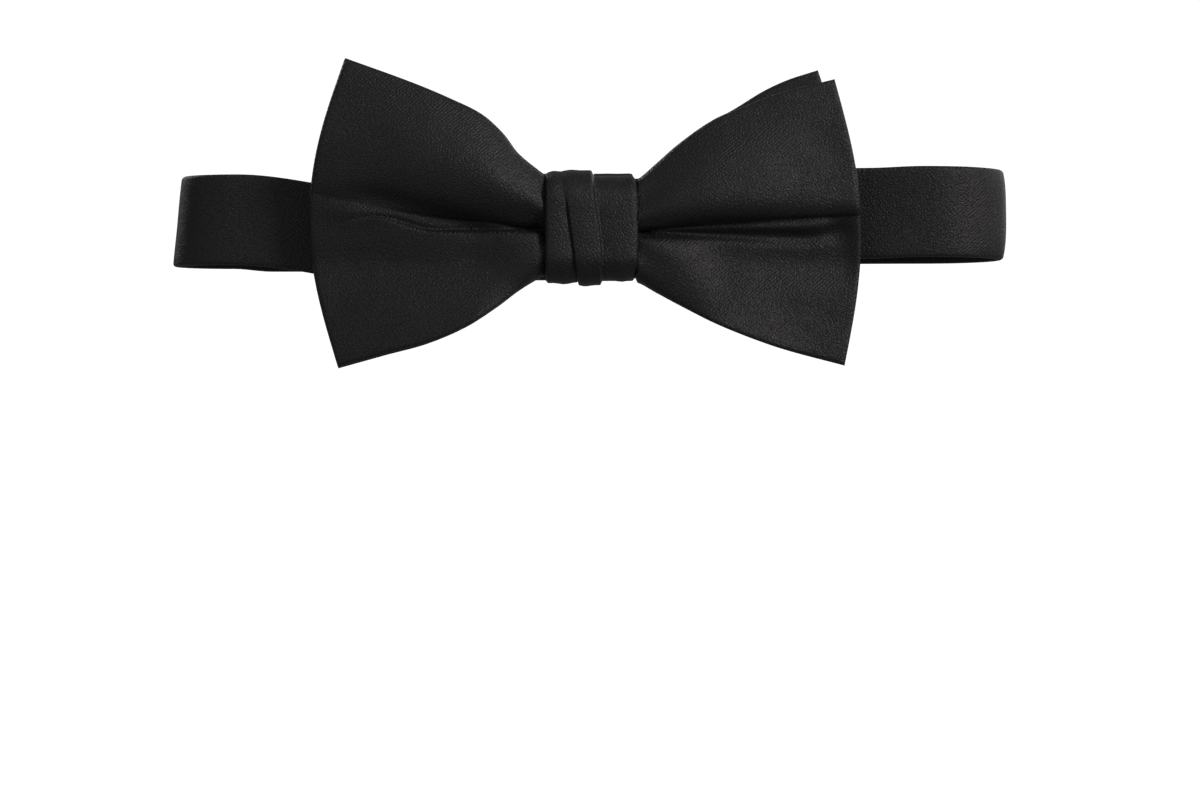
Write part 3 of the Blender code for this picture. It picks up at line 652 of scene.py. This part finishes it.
SECTION_SHARES = {
    "left": [0.0, 0.03, 0.08, 0.15, 0.26, 0.40, 0.55, 0.70, 0.82, 0.90, 0.95, 0.98],
    "middle": [0.0, 0.015, 0.035, 0.06, 0.10, 0.18, 0.30, 0.44, 0.58, 0.72, 0.84, 0.90, 0.94, 0.965,
               0.985, 1.0],
    "right": [0.02, 0.05, 0.10, 0.18, 0.30, 0.45, 0.60, 0.74, 0.85, 0.92, 0.97, 1.0],
}
SECTION_RISE = {"left": 0.0005, "middle": 0.0010, "right": -0.0001}
GROOVE_DEPTH = 0.00025
TURNED_EDGE = 0.0007
UNDER_LAYER = 0.0006
WRAP_FRONT_THICKNESS = 0.0012
HEM_THICKNESS = 0.0023
HEM_WIDTH = 0.0004
SIDE_ROUNDING = 0.0001
FLAT_REAR_Y = -0.0008


def knot_rise(section, share, z, front):
    """How far the wrap's outer surface stands proud of its plain section."""
    rise = SECTION_RISE[section]
    high = smooth((z - 0.0030) / 0.0050)
    if section == "middle":
        left_round = lerp(smooth(share / 0.06), 1.0, high)
        right_round = smooth((1.0 - share) / 0.06)
        crown = 0.00025 * math.sin(math.pi * share)
        return front * (rise * lerp(0.30, 1.0, min(left_round, right_round)) + crown)
    outer = share if section == "left" else 1.0 - share
    if section == "left":
        rise = lerp(rise, 0.92 * SECTION_RISE["middle"], high * smooth(share / 0.6))
    turned = TURNED_EDGE * (1.0 - smooth(outer / 0.12)) ** 2
    groove = 0.0
    if section == "left":
        groove = GROOVE_DEPTH * smooth((outer - 0.94) / 0.05) * (1.0 - high) * smooth((z + 0.0105) / 0.005)
    swell = 0.00030 * math.sin(math.pi * share) * (1.0 - high)
    return front * (rise + swell - groove) - turned


def make_knot():
    """A hollow strip round the waist: plain sides, a proud pleat and an under layer that shows on top."""
    columns = []
    for section, shares in SECTION_SHARES.items():
        columns += [(section, share) for share in shares]
    rings = []
    uvs = []
    for section, share in columns:
        ring = []
        ring_uv = []
        for step in range(KNOT_STEPS + 1):
            turn = step / KNOT_STEPS
            y, z, out_y, out_z = section_point(KNOT_HALF_HEIGHT, 0.0, -KNOT_DEPTH, KNOT_REAR_RADIUS,
                                               KNOT_FRONT_RADIUS, turn + 0.5)
            left, right = pleat_edges(z)
            ends = {"left": (-KNOT_HALF_WIDTH, left), "middle": (left, right),
                    "right": (right, knot_side(z))}[section]
            x = lerp(ends[0], ends[1], share)
            front = smooth((-KNOT_DEPTH / 2 + 0.004 - y) / 0.006)
            strain = 0.00010 * math.sin(x * 1500.0 + z * 200.0) * hill(abs(z), 0.0105, 0.0040)
            strain += 0.00012 * ripple(x, z, 0.0036, 5.5)
            rise = knot_rise(section, share, z, front) + strain * (0.15 + 0.85 * front)
            if section == "right" and z > 0.0:
                rise += UNDER_LAYER * smooth((y + 0.0052) / 0.0012) * smooth((1.0 - share) / 0.10)
            if y > FLAT_REAR_Y:
                rise = min(rise, 0.0)
            ring.append((x, y + rise * out_y, z + rise * out_z))
            ring_uv.append((x, -turn * KNOT_GIRTH))
        rings.append(ring)
        uvs.append(ring_uv)
    plain_y = -KNOT_DEPTH + WRAP_FRONT_THICKNESS
    hem_y = -KNOT_DEPTH + HEM_THICKNESS
    hem_x = KNOT_HALF_WIDTH - HEM_WIDTH
    inside = [(KNOT_HALF_WIDTH - SIDE_ROUNDING, hem_y), (hem_x, hem_y), (hem_x - SIDE_ROUNDING, plain_y)]
    inside += [(-x, y) for x, y in reversed(inside)]
    for end_x, front_y in inside:
        ring = []
        ring_uv = []
        for step in range(KNOT_STEPS + 1):
            turn = step / KNOT_STEPS
            y, z, _, _ = section_point(KNOT_HALF_HEIGHT - WRAP_THICKNESS, -WRAP_THICKNESS, front_y, GAP,
                                       WRAP_INNER_RADIUS, turn + 0.5)
            x = min(end_x, knot_side(z) - SIDE_ROUNDING)
            ring.append((x, y, z))
            ring_uv.append((x, -turn * KNOT_GIRTH))
        rings.append(ring)
        uvs.append(ring_uv)
    size = KNOT_STEPS + 1
    verts = [point for ring in rings for point in ring]
    flat_uvs = [uv for ring in uvs for uv in ring]
    faces = []
    for r in range(len(rings)):
        following = (r + 1) % len(rings)
        for j in range(size - 1):
            faces.append((r * size + j, following * size + j, following * size + j + 1, r * size + j + 1))
    return add_mesh("knot", verts, faces, flat_uvs, KNOT_SATIN)


# Straps

STRAP_ROWS = 14
STRAP_WAVE = 0.00022
RUN_SPACING = 0.0012
FOLD_SPACING = 0.0008
FOLD_STEPS = 14


def level(x):
    return 0.0


def folded_thickness(x, y):
    return FOLD_THICKNESS


def lining_thickness(x, y):
    return BAND_LINING_THICKNESS


def ease_out(t):
    return math.sin(math.pi / 2 * t)


def line_path(start, end, spacing=RUN_SPACING, ease=smooth):
    """Points from start to end, without the end. Each is (x, y, middle height)."""
    count = max(1, round(math.dist(start[:2], end[:2]) / spacing))
    return [(lerp(start[0], end[0], i / count), lerp(start[1], end[1], i / count),
             lerp(start[2], end[2], ease(i / count))) for i in range(count)]


def arc_path(centre, radius, start_angle, end_angle, start_z, end_z, steps, length=None):
    """Points round an arc in plan, without its last point. length is its half width along x, if not round."""
    points = []
    for i in range(steps):
        angle = math.radians(lerp(start_angle, end_angle, i / steps))
        points.append((centre[0] + (length or radius) * math.cos(angle), centre[1] + radius * math.sin(angle),
                       lerp(start_z, end_z, smooth(i / steps))))
    return points


def strap_rings(path, width, thickness_at, lean_at, bow_at, wave, inset=0.0):
    """Rings of a flat strap standing on edge along a path."""
    heading = 1.0 if path[1][0] > path[0][0] else -1.0
    rings = []
    ring_uvs = []
    travelled = 0.0
    last = len(path) - 1
    for i, (x, y, z) in enumerate(path):
        before = path[max(i - 1, 0)]
        after = path[min(i + 1, last)]
        dx, dy = after[0] - before[0], after[1] - before[1]
        length = math.hypot(dx, dy)
        side_x, side_y = dy / length, -dx / length
        if i:
            travelled += math.dist(path[i - 1][:2], (x, y))
        radius = thickness_at(x, y) / 2 - inset / 3
        height = width - 2 * inset
        steps = edge_steps(height, radius, height / STRAP_ROWS)
        front, back, uvs = [], [], []
        for d in steps:
            h = d - height / 2
            half = edge_height(min(d, height - d), radius)
            share = 2 * h / width
            shift = bow_at(x) * share**4 + wave * ripple(travelled, h, 0.012, width * 1000)
            lean = lean_at(x) * h
            for row, offset in ((front, half + shift), (back, -half + shift)):
                row.append((x + side_x * offset + lean, y + side_y * offset, z + h))
            uvs.append((heading * travelled, h))
        order = list(range(len(steps) - 2, 0, -1))
        rings.append(front + [back[j] for j in order])
        ring_uvs.append(uvs + [uvs[j] for j in order])
    return rings, ring_uvs


def make_strap(name, path, width, thickness_at, material, lean_at=level, bow_at=level, wave=0.0, inset=0.0):
    """A strap whose edges lean along x and bow outwards by what lean_at and bow_at give."""
    rings, uvs = strap_rings(path, width, thickness_at, lean_at, bow_at, wave, inset)
    return loft(name, rings, uvs, material)


def left_path():
    """Out of the knot, round the left bend, back along the rear and round the hook's bar."""
    front_low, bend_z, rear_high = -0.0004, 0.0020, 0.0015
    behind_wing_x, level_x, hardware_x, end_x = -0.0580, -0.0705, -0.0570, -0.0342
    fold_centre = (HOOK_FOLD_X, REAR_LEFT_Y - HOOK_FOLD_RADIUS)
    start = (-GAP, FRONT_RUN_Y, 0.0)
    join = (FRONT_JOIN_X, FRONT_RUN_Y, 0.0)
    behind_wing = (behind_wing_x, FRONT_RUN_Y, front_low)
    path = line_path(start, join)
    path += line_path(join, behind_wing)
    path += line_path(behind_wing, (LEFT_BEND_X, FRONT_RUN_Y, bend_z), ease=ease_out)
    path += arc_path((LEFT_BEND_X, FRONT_RUN_Y + LEFT_BEND_RADIUS), LEFT_BEND_RADIUS, 270, 90,
                     bend_z, rear_high, 40, LEFT_BEND_LENGTH)
    path += line_path((LEFT_BEND_X, REAR_LEFT_Y, rear_high), (level_x, REAR_LEFT_Y, HARDWARE_Z))
    path += line_path((level_x, REAR_LEFT_Y, HARDWARE_Z), (hardware_x, REAR_LEFT_Y, HARDWARE_Z))
    path += line_path((hardware_x, REAR_LEFT_Y, HARDWARE_Z), (HOOK_FOLD_X, REAR_LEFT_Y, HARDWARE_Z))
    path += arc_path(fold_centre, HOOK_FOLD_RADIUS, 90, -90, HARDWARE_Z, HARDWARE_Z, FOLD_STEPS)
    front_y = REAR_LEFT_Y - 2 * HOOK_FOLD_RADIUS
    end = (end_x, front_y, HARDWARE_Z)
    path += line_path((HOOK_FOLD_X, front_y, HARDWARE_Z), end, FOLD_SPACING)
    path.append(end)
    return path


def right_path():
    """Out of the knot, round the right bend, back along the rear and round the eye ring's bar."""
    front_z, rear_z, drop = 0.0038, 0.0027, 0.0003
    behind_wing_x, hardware_x, ring_x, end_x = 0.0600, 0.0200, -0.0030, -0.0006
    start = (GAP, FRONT_RUN_Y, 0.0)
    knot_exit = (KNOT_EXIT_X, FRONT_RUN_Y, 0.0)
    behind_wing = (behind_wing_x, FRONT_RUN_Y, front_z - 0.0004)
    path = line_path(start, knot_exit)
    path += line_path(knot_exit, behind_wing)
    path += line_path(behind_wing, (RIGHT_BEND_X, FRONT_RUN_Y, front_z))
    path += arc_path((RIGHT_BEND_X, FRONT_RUN_Y + RIGHT_BEND_RADIUS), RIGHT_BEND_RADIUS, -90, 90,
                     front_z, rear_z, 44, RIGHT_BEND_LENGTH)
    path = [(x, y - RIGHT_RUN_BULGE * smooth((x - 0.054) / 0.018) * smooth((0.004 - y) / 0.006), z)
            for x, y, z in path]
    hardware = (hardware_x, REAR_RIGHT_Y, rear_z - drop)
    ring = (ring_x, REAR_RIGHT_Y, HARDWARE_Z)
    path += line_path((RIGHT_BEND_X, REAR_RIGHT_Y, rear_z), hardware)
    path += line_path(hardware, ring)
    path += line_path(ring, (EYE_BAR_X, REAR_RIGHT_Y, HARDWARE_Z), FOLD_SPACING)
    path += arc_path((EYE_BAR_X, EYE_Y), EYE_FOLD_RADIUS, 90, 270, HARDWARE_Z, HARDWARE_Z, FOLD_STEPS)
    front_y = EYE_Y - EYE_FOLD_RADIUS
    end = (end_x, front_y, HARDWARE_Z)
    path += line_path((EYE_BAR_X, front_y, HARDWARE_Z), end, FOLD_SPACING)
    path.append(end)
    return path


def left_thickness(x, y):
    """The strap is one layer thinner where it folds round the hook."""
    if y < 0.0:
        return BAND_THICKNESS
    return lerp(BAND_THICKNESS, FOLD_THICKNESS, smooth((x + 0.0400) / 0.005))


def right_thickness(x, y):
    if y < 0.0:
        return BAND_THICKNESS
    return lerp(FOLD_THICKNESS, BAND_THICKNESS, smooth((x - 0.0005) / 0.005))


def left_lean(x):
    return 0.10 * smooth((-0.066 - x) / 0.018)


def left_bow(x):
    return 0.0001 * smooth((-0.080 - x) / 0.008)


def right_bow(x):
    return -0.0007 * smooth((x - 0.080) / 0.008)


def path_length(path):
    return sum(math.dist(a[:2], b[:2]) for a, b in zip(path, path[1:]))


def make_neckbands():
    """The two halves of the band: a satin sleeve and the strip inside it."""
    left = make_strap("neckband_left", left_path(), BAND_WIDTH, left_thickness, BAND_SATIN,
                      left_lean, left_bow, STRAP_WAVE)
    right = make_strap("neckband_right", right_path(), BAND_WIDTH, right_thickness, BAND_SATIN,
                       level, right_bow, STRAP_WAVE)
    left_lining = make_strap("neckband_left_canvas", left_path(), BAND_WIDTH, lining_thickness, CANVAS,
                             left_lean, left_bow, inset=BAND_LINING_INSET)
    right_lining = make_strap("neckband_right_canvas", right_path(), BAND_WIDTH, lining_thickness, CANVAS,
                              level, right_bow, inset=BAND_LINING_INSET)
    for piece in (left, left_lining):
        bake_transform(piece)
    for piece in (right, right_lining):
        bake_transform(piece)
    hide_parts("neckband_front_left", "neckband_left_bend", "neckband_rear_left", "hook_strap_fold")
    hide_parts("neckband_front_right", "neckband_right_bend", "neckband_rear_right", "eye_strap_fold")
    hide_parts("neckband_front_left_interlining", "neckband_left_bend_interlining",
                "neckband_rear_left_interlining")
    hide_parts("neckband_front_right_interlining", "neckband_right_bend_interlining",
                "neckband_rear_right_interlining")
    length = path_length(left_path())
    length = path_length(right_path())


def make_slider_straps():
    """The strap end round the slider's middle bar, and the length that returns to the hook."""
    near_y = SLIDER_BAR_Y - SLIDER_FOLD_RADIUS
    far_y = SLIDER_BAR_Y + SLIDER_FOLD_RADIUS
    loop_start = (-0.0420, far_y, HARDWARE_Z)
    loop_end = (-0.04395, near_y, HARDWARE_Z)
    loop = line_path(loop_start, (SLIDER_FOLD_X, far_y, HARDWARE_Z), FOLD_SPACING)
    loop += arc_path((SLIDER_FOLD_X, SLIDER_BAR_Y), SLIDER_FOLD_RADIUS, 90, 270, HARDWARE_Z, HARDWARE_Z,
                     FOLD_STEPS)
    loop += line_path((SLIDER_FOLD_X, near_y, HARDWARE_Z), loop_end, FOLD_SPACING)
    loop.append(loop_end)
    fold = make_strap("slider_strap_loop", loop, BAND_WIDTH, folded_thickness, BAND_SATIN)
    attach(fold, SLIDER_BODY)
    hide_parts("slider_strap_fold")
    hook_end = (-0.03425, REAR_LEFT_Y - 2 * HOOK_FOLD_RADIUS, HARDWARE_Z)
    run = line_path((-0.04390, near_y, HARDWARE_Z), hook_end, FOLD_SPACING) + [hook_end]
    back = make_strap("strap_return_run", run, BAND_WIDTH, folded_thickness, BAND_SATIN)
    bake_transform(back)
    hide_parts("strap_return")


# Threads

def add_tube(name, lines, radius, material):
    """Round threads along lines of points, as one mesh."""
    curve = bpy.data.curves.new(name, "CURVE")
    curve.dimensions = "3D"
    curve.bevel_depth = radius
    curve.bevel_resolution = 2
    curve.use_fill_caps = True
    for points in lines:
        spline = curve.splines.new("POLY")
        spline.points.add(len(points) - 1)
        for point, place in zip(spline.points, points):
            point.co = (*place, 1.0)
    holder = bpy.data.objects.new(name + "_line", curve)
    bpy.context.collection.objects.link(holder)
    bpy.context.view_layer.update()
    mesh = bpy.data.meshes.new_from_object(holder.evaluated_get(bpy.context.evaluated_depsgraph_get()))
    bpy.data.objects.remove(holder, do_unlink=True)
    mesh.name = name
    mesh.shade_smooth()
    mesh.materials.clear()
    mesh.materials.append(material)
    obj = bpy.data.objects.new(name, mesh)
    bpy.context.collection.objects.link(obj)
    return obj


def bar_tack(name, node, surface_y, facing, body):
    """Close zigzag stitches across a strap, with the same footprint as the CAD's tack."""
    low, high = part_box(node)
    turns = 44
    radius = 0.00013
    middle_rise, end_rise = 0.00022, 0.00004
    middle = (low.x + high.x) / 2
    half_turn = (high.z - low.z) / turns / 2
    points = []
    for i in range(turns + 1):
        z = lerp(low.z + radius, high.z - radius, i / turns)
        x = high.x - radius if i % 2 else low.x + radius
        if points:
            points.append((middle, surface_y + facing * middle_rise, z - half_turn))
        points.append((x, surface_y + facing * end_rise, z))
    tack = add_tube(name, [points], radius, THREAD)
    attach(tack, body)
    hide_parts(node)


def knot_stitches():
    """Slanted hand stitches along the lap at the back of the knot."""
    low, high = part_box("knot_seam_stitches")
    count = 12
    lines = []
    for i in range(count):
        x = lerp(low.x + 0.0004, high.x - 0.0012, i / (count - 1))
        lines.append([(x, -0.0001, low.z + 0.0001), (x + 0.0003, 0.00005, (low.z + high.z) / 2),
                      (x + 0.0006, -0.0001, high.z - 0.0001)])
    stitches = add_tube("knot_stitches", lines, 0.00014, THREAD)
    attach(stitches, TIE)
    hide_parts("knot_seam_stitches")


def waist_binding():
    """Thread wound round the pinched waist of both bows."""
    low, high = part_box("waist_thread")
    radius = 0.0002
    turns = 7
    steps_per_turn = 16
    corner_reach = 1.3  # a circle widened by this much and cut off square gives a rounded rectangle
    points = []
    half_z = (high.z - low.z) / 2 - radius
    half_y = (high.y - low.y) / 2 - radius
    middle_y = (high.y + low.y) / 2
    steps = turns * steps_per_turn
    for i in range(steps + 1):
        angle = 2 * math.pi * i / steps_per_turn
        y = max(-half_y, min(half_y, corner_reach * half_y * math.cos(angle)))
        z = max(-half_z, min(half_z, corner_reach * half_z * math.sin(angle)))
        points.append((lerp(low.x, high.x, i / steps), middle_y + y, z))
    binding = add_tube("waist_binding", [points], radius, THREAD)
    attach(binding, TIE)
    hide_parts("waist_thread")


def make_knot_canvas():
    """The stiff strip that keeps the front of the knot full."""
    low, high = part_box("knot_interlining")
    half_thickness = 0.0003
    columns = 16
    rings = []
    uvs = []
    for i in range(columns + 1):
        x = lerp(low.x, high.x, i / columns)
        steps = edge_steps(high.z - low.z, half_thickness, RUN_SPACING)
        front, back, row = [], [], []
        for d in steps:
            z = low.z + d
            half = edge_height(min(d, (high.z - low.z) - d), half_thickness)
            y = (low.y + high.y) / 2
            front.append((x, y - half, z))
            back.append((x, y + half, z))
            row.append((x, z))
        order = list(range(len(steps) - 2, 0, -1))
        rings.append(front + [back[j] for j in order])
        uvs.append(row + [row[j] for j in order])
    piece = loft("knot_canvas", rings, uvs, CANVAS)
    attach(piece, TIE)
    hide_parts("knot_interlining")


def make_bows():
    """Both bows, each a satin body with a canvas lining inside."""
    shapes = {
        "front_bow": (FRONT_BOW_SET, front_bow_depth, FRONT_BOW_MID_Y, WAIST_LOBE),
        "back_bow": (BACK_BOW_SET, back_bow_depth, BACK_BOW_MID_Y, 0.0),
    }
    for name, shape in shapes.items():
        bow = make_bow(name, shape, BOW_HALF_THICKNESS, 0.0, BOW_SATIN)
        lining = make_bow(name + "_canvas", shape, BOW_LINING_HALF_THICKNESS, BOW_LINING_INSET, CANVAS)
        for piece in (bow, lining):
            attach(piece, TIE)
        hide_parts(name + "_face", name + "_back")
        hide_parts(name + "_interlining")


def hardware():
    """The fittings keep the CAD model's shapes and get black enamel."""
    for node in ("hook", "eye_ring", "slider"):
        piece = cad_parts[node]
        piece.data.materials.clear()
        piece.data.materials.append(ENAMEL)


# Stage

FLOOR_Z = -0.155


def area_light(name, place, size, power, colour=(1.0, 1.0, 1.0)):
    light = bpy.data.lights.new(name, "AREA")
    light.shape = "SQUARE"
    light.size = size
    light.energy = power
    light.color = colour
    obj = bpy.data.objects.new(name, light)
    obj.location = place
    obj.rotation_euler = (-Vector(place)).to_track_quat("-Z", "Y").to_euler()
    obj.visible_camera = False
    bpy.context.collection.objects.link(obj)


def stage_material():
    material = new_material("Pale studio paper", 0.9, 0.1)
    t = Tree(material)
    place = t.add("ShaderNodeTexCoord", {}).outputs["Object"]
    mottle = t.noise(place, 3.0, 2.0, 0.5)
    t.put(t.shader.inputs["Base Color"], t.tint((0.92, 0.92, 0.92), t.remap(mottle, 0.3, 0.7, 0.99, 1.0)))
    t.shader.inputs["Emission Color"].default_value = (1.0, 1.0, 1.0, 1.0)
    t.shader.inputs["Emission Strength"].default_value = 0.85
    return material


def make_stage():
    """A round pale floor whose rim curves up into a wall on every side."""
    floor_radius, bend, wall_height = 1.9, 0.5, 2.6
    profile = [(0.0, 0.0), (floor_radius, 0.0)]
    for i in range(1, 7):
        angle = math.radians(15 * i)
        profile.append((floor_radius + bend * math.sin(angle), bend - bend * math.cos(angle)))
    profile.append((floor_radius + bend, wall_height))
    segments = 96
    verts = [(0.0, 0.0, 0.0)]
    faces = []
    for radius, height in profile[1:]:
        for s in range(segments):
            angle = 2 * math.pi * s / segments
            verts.append((radius * math.cos(angle), radius * math.sin(angle), height))
    for s in range(segments):
        following = (s + 1) % segments
        faces.append((0, 1 + s, 1 + following))
        for ring in range(len(profile) - 2):
            a = 1 + ring * segments
            faces.append((a + s, a + segments + s, a + segments + following, a + following))
    mesh = bpy.data.meshes.new("floor")
    mesh.from_pydata(verts, [], faces)
    mesh.shade_smooth()
    mesh.materials.append(stage_material())
    floor = bpy.data.objects.new("floor", mesh)
    floor.location = (0.0, 0.0, FLOOR_Z)
    floor.visible_diffuse = False
    floor.visible_glossy = False
    floor.visible_shadow = False
    bpy.context.collection.objects.link(floor)


def light_the_scene():
    scene = bpy.context.scene
    scene.view_settings.view_transform = "Standard"
    world = bpy.data.worlds.new("Studio")
    world.use_nodes = True
    background = world.node_tree.nodes["Background"]
    background.inputs["Color"].default_value = (1.0, 1.0, 1.0, 1.0)
    background.inputs["Strength"].default_value = 0.20
    scene.world = world
    area_light("key", (0.65, -0.53, 0.34), 0.28, 5.7, (1.0, 0.94, 0.94))
    area_light("fill", (-0.75, -1.05, 0.30), 0.9, 2.1, (0.86, 0.92, 1.0))
    area_light("top", (0.0, -0.35, 1.2), 0.9, 1.3, (0.84, 0.92, 1.0))
    area_light("rear_key", (-0.75, 0.90, 0.55), 0.4, 4.0)
    area_light("rear_fill", (0.95, 0.90, 0.42), 0.9, 4.5)


def add_camera():
    distance, frame_width = 1.300, 0.2599
    bow_front_y, centre_x, centre_z = -0.011, 0.0018, -0.0370
    data = bpy.data.cameras.new("camera")
    data.sensor_width = 36.0
    data.lens = 36.0 * distance / frame_width
    data.clip_end = 20.0
    camera = bpy.data.objects.new("camera", data)
    camera.location = (centre_x, bow_front_y - distance, centre_z)
    camera.rotation_euler = (math.pi / 2, 0.0, 0.0)
    bpy.context.collection.objects.link(camera)
    bpy.context.scene.camera = camera


add_camera()
make_stage()
light_the_scene()
make_bows()
knot = make_knot()
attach(knot, TIE)
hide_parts("knot_wrap")
make_knot_canvas()
make_neckbands()
make_slider_straps()
knot_stitches()
waist_binding()
bar_tack("eye_tack", "eye_bar_tack", REAR_RIGHT_Y + BAND_THICKNESS / 2, 1, EYE_END)
bar_tack("slider_tack", "slider_bar_tack", SLIDER_BAR_Y - SLIDER_FOLD_RADIUS - FOLD_THICKNESS / 2, -1,
         SLIDER_BODY)
hardware()
